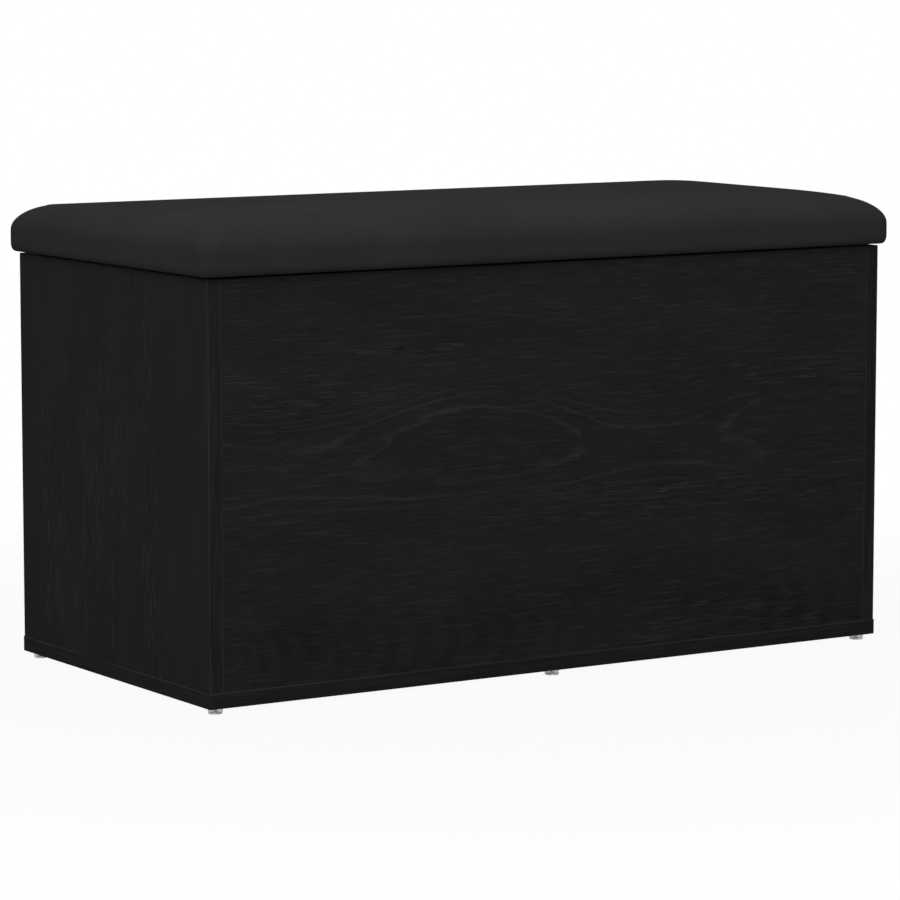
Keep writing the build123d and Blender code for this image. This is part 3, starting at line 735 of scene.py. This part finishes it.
@dataclass
class SeatPad:
    """The upholstered foam of the lid, one cloth pulled over the shoulder and turned under the board."""

    corner: float = 0.0148
    undercut: float = 0.0052
    undercut_rise: float = 0.008
    side: float = 0.0220
    end_run: float = 0.0405
    side_run: float = 0.142
    shoulder_run: float = 0.026
    shoulder_rise: float = 0.022
    dome_power: float = 2.2
    corner_power: float = 4.0
    hem: float = 0.040
    hem_corner: float = 0.002
    hem_thickness: float = 0.001
    cells: tuple[int, int] = (104, 50)
    shoulder_steps: int = 12
    side_steps: int = 5
    undercut_steps: int = 5
    hem_steps: int = 6
    held_below: float = 0.015
    shoulder_hold: float = 0.85
    crown_hold: float = 0.3
    crown_gain: float = 1.5
    pressure: float = 2.0
    stiffness: float = 30.0
    bending: float = 2.0
    quality: int = 6
    frames: int = 20
    most_move: float = 0.003
    fold_depth: float = 0.0009
    fold_angle: float = 52.0
    fold_top: float = 0.034
    fold_fade: float = 2.5
    mitre_run: float = 0.050
    mitre_start: float = 0.014
    half: Vector = field(init=False)
    bottom: float = field(init=False)
    rise: float = field(init=False)
    flat: dict[bmesh.types.BMVert, Vector] = field(init=False, default_factory=dict)

    def build(self) -> bpy.types.Object:
        """Shape the cloth, let the foam swell it and put it on the lid.

        Returns:
            The seat pad.
        """
        low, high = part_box("seat_cover")
        self.half = Vector((high.x, high.y))
        self.bottom = low.z
        self.rise = high.z - low.z - self.side
        shape = bmesh.new()
        self.spread_top(shape)
        self.fold_down(shape)
        self.tuck_corners(shape)
        self.mitre_hem(shape)
        self.lay_map(shape)
        pad = new_piece("seat_pad", shape, SEAT_CLOTH)
        self.swell(pad)
        rounding = pad.modifiers.new("Soft cloth", "SUBSURF")
        rounding.levels = rounding.render_levels = 1
        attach(pad, "lid")
        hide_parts("seat_cover", "foam_pad")
        return pad

    def side_rise(self, run: float) -> float:
        """Height of the padding over the upright side, at a run in from the front or the back."""
        round_share = max(1 - run / self.shoulder_run, 0.0)
        dome_share = max(1 - run / self.side_run, 0.0)
        dome = (self.rise - self.shoulder_rise) * (1 - dome_share ** self.dome_power)
        return self.shoulder_rise * math.sqrt(1 - round_share ** 2) + dome

    def end_rise(self, run: float) -> float:
        """Height of the padding over the upright side, at a run in from either end."""
        return self.rise * math.sqrt(1 - max(1 - run / self.end_run, 0.0) ** 2)

    def sections(self) -> list[Section]:
        """The outlines from the top of the shoulder down to the hem's edge.

        Returns:
            The sections in order, the first at the edge of the top.
        """
        foot = self.bottom + self.side
        made = []
        for step in range(self.shoulder_steps, -1, -1):
            turn = math.radians(90 * step / self.shoulder_steps)
            sides = self.shoulder_run * (1 - math.cos(turn))
            rise = self.side_rise(sides)
            ends = self.end_run * (1 - math.sqrt(1 - (rise / self.rise) ** 2))
            made.append(Section(ends, sides, self.corner + (ends + sides) / 2, foot + rise))
        for step in range(1, self.side_steps + 1):
            drop = (self.side - self.undercut_rise) * step / self.side_steps
            made.append(Section(0.0, 0.0, self.corner, foot - drop))
        for step in range(1, self.undercut_steps + 1):
            turn = math.radians(90 * step / self.undercut_steps)
            inset = self.undercut * (1 - math.cos(turn))
            z = self.bottom + self.undercut_rise * (1 - math.sin(turn))
            made.append(Section(inset, inset, self.corner - inset, z))
        for step in range(1, self.hem_steps + 1):
            inset = self.undercut + (self.hem - self.undercut) * step / self.hem_steps
            made.append(Section(inset, inset, max(self.corner - inset, self.hem_corner), self.bottom))
        made.append(Section(self.hem, self.hem, self.hem_corner, self.bottom + self.hem_thickness))
        return made

    def core(self, section: Section) -> Vector:
        """The rectangle that a section's corner arcs turn about."""
        return self.half - Vector((section.ends + section.corner, section.sides + section.corner))

    def spread_top(self, shape: bmesh.types.BMesh) -> None:
        """Lay a grid over the top, round its corners and crown it.

        Args:
            shape: The mesh that the grid goes into.
        """
        edge = self.sections()[0]
        core = self.core(edge)
        reach = self.half - Vector((edge.ends, edge.sides))
        most = self.bottom + self.side + self.rise - edge.z
        bmesh.ops.create_grid(shape, x_segments=self.cells[0], y_segments=self.cells[1], size=1.0)
        for vert in shape.verts:
            x, y = vert.co.x * reach.x, vert.co.y * reach.y
            out_x, out_y = max(abs(x) - core.x, 0.0), max(abs(y) - core.y, 0.0)
            if out_x and out_y:
                far, near = max(out_x, out_y), min(out_x, out_y)
                turn = math.pi / 4 * near / far
                if out_y > out_x:
                    turn = math.pi / 2 - turn
                x = math.copysign(core.x + far * math.cos(turn), x)
                y = math.copysign(core.y + far * math.sin(turn), y)
            end_drop = self.rise - self.end_rise(self.half.x - abs(x))
            side_drop = self.rise - self.side_rise(self.half.y - abs(y))
            power = self.corner_power
            drop = (end_drop ** power + side_drop ** power) ** (1 / power)
            vert.co = (x, y, edge.z + most - min(drop, most))
            self.flat[vert] = Vector((x, y))

    def fold_down(self, shape: bmesh.types.BMesh) -> None:
        """Draw the cloth's edge over the shoulder, down the side and under the board.

        Args:
            shape: The mesh with its top.
        """
        sections = self.sections()
        for above, below in zip(sections, sections[1:]):
            border = [edge for edge in shape.edges if edge.is_boundary]
            drawn = bmesh.ops.extrude_edge_only(shape, edges=border)["geom"]
            old, new = self.core(above), self.core(below)
            step = math.hypot(below.sides - above.sides, below.z - above.z)
            verts = {part for part in drawn if isinstance(part, bmesh.types.BMVert)}
            for vert in verts:
                share = Vector([max(-1.0, min(1.0, vert.co[axis] / old[axis])) for axis in range(2)])
                outward = Vector((vert.co.x - share.x * old.x, vert.co.y - share.y * old.y)).normalized()
                place = Vector((share.x * new.x, share.y * new.y)) + outward * below.corner
                vert.co = (place.x, place.y, below.z)
                beside = [edge.other_vert(vert) for edge in vert.link_edges]
                source = next(other for other in beside if other not in verts)
                self.flat[vert] = self.flat[source] + outward * step
        bmesh.ops.recalc_face_normals(shape, faces=shape.faces)

    def tuck_corners(self, shape: bmesh.types.BMesh) -> None:
        """Lap the end's cloth over the long side's at each corner, as a fold that fades upwards.

        Args:
            shape: The folded cloth.
        """
        core = Vector((self.half.x - self.corner, self.half.y - self.corner))
        for vert in shape.verts:
            out = Vector((abs(vert.co.x) - core.x, abs(vert.co.y) - core.y))
            rise = (vert.co.z - self.bottom) / self.fold_top
            if min(out) <= 0.0 or rise >= 1.0:
                continue
            angle = math.degrees(math.atan2(out.y, out.x))
            if angle < self.fold_angle:
                fade = min(1.0, self.fold_fade * (1.0 - rise))
                lift = self.fold_depth * (angle / self.fold_angle) ** 2 * fade
                out.normalize()
                vert.co.x += math.copysign(out.x * lift, vert.co.x)
                vert.co.y += math.copysign(out.y * lift, vert.co.y)

    def mitre_hem(self, shape: bmesh.types.BMesh) -> None:
        """Lap the hem's two sides along the diagonal of each corner, where the cloth lies double.

        Args:
            shape: The folded cloth.
        """
        for vert in shape.verts:
            inset = self.half - Vector((abs(vert.co.x), abs(vert.co.y)))
            past = inset.y - inset.x
            under = vert.co.z < self.bottom + self.hem_thickness / 2
            if under and 0.0 <= past < self.mitre_run:
                start = (min(inset) - self.undercut) / (self.mitre_start - self.undercut)
                vert.co.z -= self.fold_depth * (1 - past / self.mitre_run) * max(0.0, min(1.0, start))

    def lay_map(self, shape: bmesh.types.BMesh) -> None:
        """Give the cloth its flat map in metres, straight across the top and down the sides.

        Args:
            shape: The folded cloth.
        """
        cloth_map = shape.loops.layers.uv.new(CLOTH_MAP)
        for face in shape.faces:
            for loop in face.loops:
                loop[cloth_map].uv = self.flat[loop.vert]

    def hold(self, z: float) -> float:
        """How firmly the board and the foam hold the cloth at a height.

        Args:
            z: The height.

        Returns:
            One where the cloth is stapled over the board, less over the foam.
        """
        edge = self.side + self.side_rise(self.shoulder_run)
        rise = z - self.bottom
        if rise <= self.held_below:
            return 1.0
        if rise <= edge:
            return 1.0 + (self.shoulder_hold - 1.0) * (rise - self.held_below) / (edge - self.held_below)
        share = min(1.0, self.crown_gain * (rise - edge) / (self.side + self.rise - edge))
        return self.shoulder_hold + (self.crown_hold - self.shoulder_hold) * share

    def swell(self, pad: bpy.types.Object) -> None:
        """Let the foam press the cloth out, held by the board, and keep the result.

        Args:
            pad: The seat pad, whose mesh is moved.
        """
        held = pad.vertex_groups.new(name="Held by the board")
        for vert in pad.data.vertices:
            held.add([vert.index], self.hold(vert.co.z), "REPLACE")
        cloth = pad.modifiers.new("Foam pressure", "CLOTH")
        settings = cloth.settings
        settings.quality = self.quality
        settings.vertex_group_mass = held.name
        settings.use_pressure = True
        settings.uniform_pressure_force = self.pressure
        settings.tension_stiffness = settings.compression_stiffness = self.stiffness
        settings.bending_stiffness = self.bending
        settings.effector_weights.gravity = 0.0
        scene = bpy.context.scene
        for number in range(1, self.frames + 1):
            scene.frame_set(number)
        evaluated = pad.evaluated_get(bpy.context.evaluated_depsgraph_get())
        pairs = zip(evaluated.data.vertices, pad.data.vertices)
        moves = [after.co - before.co for after, before in pairs]
        pad.modifiers.remove(cloth)
        scene.frame_set(1)
        for vert, move in zip(pad.data.vertices, moves):
            if move.length > self.most_move:
                move = move * (self.most_move / move.length)
            vert.co += move
        LOG.info("seat_pad: the cloth moved up to %.2f mm", 1000 * max(move.length for move in moves))


@dataclass
class Lining:
    """The thin cloth that closes the underside of the lid board."""

    thickness: float = 0.0006
    clear: float = 0.0003
    cells: tuple[int, int] = (72, 32)
    ripple: float = 0.00012
    waves: tuple[float, float] = (37.0, 29.0)
    sway: float = 9.0
    sway_waves: float = 11.0

    def build(self) -> bpy.types.Object:
        """Lay the cloth under the board with a slight ripple.

        Returns:
            The lining.
        """
        low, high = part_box("lid_lining")
        middle, reach = (low + high) / 2, (high - low) / 2
        shape = bmesh.new()
        bmesh.ops.create_grid(shape, x_segments=self.cells[0], y_segments=self.cells[1], size=1.0)
        flat = shape.loops.layers.uv.new(CLOTH_MAP)
        for vert in shape.verts:
            x, y = middle.x + vert.co.x * reach.x, middle.y + vert.co.y * reach.y
            bend = self.sway * math.sin(self.sway_waves * y)
            wave = math.sin(self.waves[0] * x + bend) * math.cos(self.waves[1] * y)
            vert.co = (x, y, low.z + self.clear + self.ripple * wave)
        for face in shape.faces:
            for loop in face.loops:
                loop[flat].uv = loop.vert.co.xy
        bmesh.ops.reverse_faces(shape, faces=shape.faces)
        lining = new_piece("lining_sheet", shape, LINING_CLOTH)
        wall = lining.modifiers.new("Cloth thickness", "SOLIDIFY")
        wall.thickness = self.thickness
        wall.offset = -1.0
        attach(lining, "lid")
        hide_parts("lid_lining")
        return lining


class Lid:
    """The padded lid: board, foam and cloth, lining and staples."""

    def build(self) -> None:
        """Make the cloth pieces and dress the rest."""
        dress(CHIPBOARD, "lid_board")
        dress(ZINC, "cover_staples")
        for part in (SeatPad(), Lining()):
            piece = part.build()
            LOG.info("%s: made new", piece.name)


@dataclass(frozen=True)
class Lamp:
    """One soft lamp: where it hangs, the size of its face and its power in watts."""

    name: str
    place: Triple
    size: tuple[float, float]
    power: float


@dataclass
class Studio:
    """The floor, the lamps, the white surroundings and the camera."""

    lamps: tuple[Lamp, ...] = (Lamp("Key lamp", (-1.35, -0.55, 1.15), (1.2, 1.0), 6.2),
                               Lamp("Top lamp", (0.0, 0.0, 2.6), (2.2, 1.6), 6.5),
                               Lamp("Fill lamp", (-0.2, -1.15, 1.15), (1.6, 1.0), 5.0))
    aim: Triple = (0.0, 0.0, 0.25)
    floor_half: float = 6.0
    floor_tone: float = 0.34
    floor_white: tuple[float, float] = (0.945, 1.0)
    floor_fade: tuple[float, float] = (0.5, 1.3)
    sensor: float = 36.0
    lens: float = 164.058
    stand: Triple = (-2.21877, -3.46014, 0.72006)
    yaw: float = -32.614
    pitch: float = 7.177
    sky: float = 0.71

    def build(self) -> None:
        """Set the stage round the bench."""
        self.lay_floor()
        self.light_sky()
        for lamp in self.lamps:
            self.hang(lamp)
        self.set_camera()
        bpy.context.scene.view_settings.view_transform = "Standard"

    def seen(self, wiring: Wiring) -> Socket:
        """One where a ray shows the surroundings, to the eye, in a gloss or through plastic."""
        path = wiring.node("ShaderNodeLightPath").outputs
        shown = wiring.math("MAXIMUM", path["Is Camera Ray"], path["Is Glossy Ray"])
        return wiring.math("MAXIMUM", shown, path["Is Transmission Ray"])

    def lay_floor(self) -> None:
        """A pale floor that goes white away from the bench and keeps its soft shadow."""
        shape = bmesh.new()
        bmesh.ops.create_grid(shape, x_segments=1, y_segments=1, size=self.floor_half)
        mesh = bpy.data.meshes.new("floor")
        shape.to_mesh(mesh)
        shape.free()
        floor = bpy.data.objects.new("floor", mesh)
        bpy.context.scene.collection.objects.link(floor)
        material = bpy.data.materials.new("Pale floor")
        material.use_nodes = True
        material.node_tree.nodes.clear()
        wiring = Wiring(material.node_tree)
        paint = wiring.node("ShaderNodeBsdfDiffuse", {"Color": rgba(grey(self.floor_tone))}).outputs[0]
        white = wiring.node("ShaderNodeEmission", {"Color": rgba(grey(1.0))}).outputs[0]
        length = wiring.node("ShaderNodeVectorMath", {0: wiring.place()}, operation="LENGTH")
        whiteness = wiring.remap(length.outputs["Value"], *self.floor_fade, *self.floor_white)
        share = wiring.math("MULTIPLY", whiteness, self.seen(wiring))
        lit = wiring.node("ShaderNodeMixShader", {0: share, 1: paint, 2: white}).outputs[0]
        clear = wiring.node("ShaderNodeBsdfTransparent").outputs[0]
        behind = wiring.node("ShaderNodeNewGeometry").outputs["Backfacing"]
        surface = wiring.node("ShaderNodeMixShader", {0: behind, 1: lit, 2: clear}).outputs[0]
        wiring.node("ShaderNodeOutputMaterial", {"Surface": surface})
        mesh.materials.append(material)

    def light_sky(self) -> None:
        """Even light from all round, white where it is seen."""
        world = bpy.data.worlds.new("Studio surroundings")
        world.use_nodes = True
        world.node_tree.nodes.clear()
        wiring = Wiring(world.node_tree)
        strength = wiring.remap(self.seen(wiring), 0.0, 1.0, self.sky, 1.0)
        glow = wiring.node("ShaderNodeBackground", {"Color": rgba(grey(1.0)), "Strength": strength})
        wiring.node("ShaderNodeOutputWorld", {"Surface": glow.outputs[0]})
        bpy.context.scene.world = world

    def hang(self, lamp: Lamp) -> None:
        """Hang one lamp that faces the bench.

        Args:
            lamp: The lamp's values.
        """
        data = bpy.data.lights.new(lamp.name, "AREA")
        data.shape = "RECTANGLE"
        data.size, data.size_y = lamp.size
        data.energy = lamp.power
        hung = bpy.data.objects.new(lamp.name, data)
        hung.location = lamp.place
        ahead = Vector(self.aim) - Vector(lamp.place)
        hung.rotation_euler = ahead.to_track_quat("-Z", "Y").to_euler()
        bpy.context.scene.collection.objects.link(hung)

    def set_camera(self) -> None:
        """Stand the camera where the photograph was taken from."""
        data = bpy.data.cameras.new("Camera")
        data.sensor_width = self.sensor
        data.lens = self.lens
        camera = bpy.data.objects.new("Camera", data)
        yaw, pitch = math.radians(self.yaw), math.radians(self.pitch)
        level = math.cos(pitch)
        ahead = Vector((-math.sin(yaw) * level, math.cos(yaw) * level, -math.sin(pitch)))
        camera.location = self.stand
        camera.rotation_euler = ahead.to_track_quat("-Z", "Y").to_euler()
        bpy.context.scene.collection.objects.link(camera)
        bpy.context.scene.camera = camera


def main() -> None:
    """Dress the bench, make its cloth and set the stage."""
    logging.basicConfig(level=logging.INFO, format="%(message)s")
    for assembly in (Chest(), Glides(), Hardware(), Lid(), Studio()):
        assembly.build()
        LOG.info("%s: done", type(assembly).__name__)


if __name__ == "__main__":
    main()
